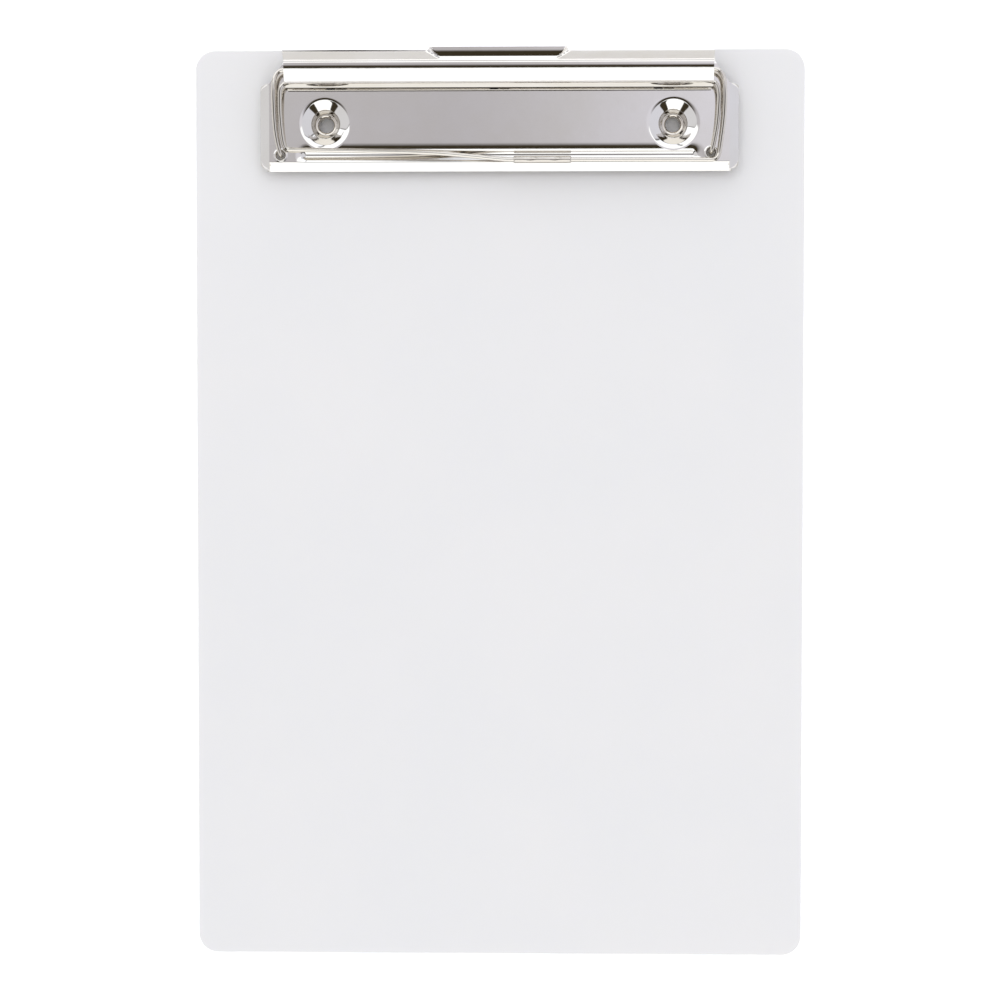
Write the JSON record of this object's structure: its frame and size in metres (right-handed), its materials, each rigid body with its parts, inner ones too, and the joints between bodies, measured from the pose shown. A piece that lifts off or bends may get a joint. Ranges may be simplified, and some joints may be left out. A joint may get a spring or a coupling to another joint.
{
  "type": "clipboard",
  "caption": "Rectangular plastic board with rounded corners and a wire-bail clip: a riveted base plate, a rolled lever with a thumb tab and a sprung wire bail.",
  "frame": {"origin": "centre of the board's back face", "axes": "+X across the board, +Y along it towards the clip end, +Z out of the writing face"},
  "size_m": [0.154, 0.23, 0.0171],
  "materials": {
    "board": "frosted white, slightly translucent",
    "clip_sheet": "bright nickel plate",
    "wire": "bright nickel-plated spring wire",
    "rivet": "bright nickel plate"
  },
  "bodies": {
    "base": {"board": "board", "base_plate": "clip_sheet", "rivet_left": "rivet", "rivet_right": "rivet", "spring_arm_left": "wire", "spring_arm_right": "wire"},
    "lever": {"lever": "clip_sheet"},
    "bail": {"bail_wire_left": "wire", "bail_wire_right": "wire", "bail_sleeve": "clip_sheet"}
  },
  "joints": [
    {"name": "lever_hinge", "type": "hinge", "parent": "base", "child": "lever", "pos_m": [0, 0.10715, 0.0101], "axis": [-1, 0, 0], "range_deg": [0, 40], "stiffness_Nm_per_rad": 0.2, "springref_deg": -57.3},
    {"name": "bail_hinge", "type": "hinge", "parent": "base", "child": "bail", "pos_m": [0, 0.10715, 0.0101], "axis": [-1, 0, 0], "range_deg": [0, 40]}
  ],
  "couplings": [
    {"joint": "bail_hinge", "follows": "lever_hinge", "ratio": 1}
  ]
}
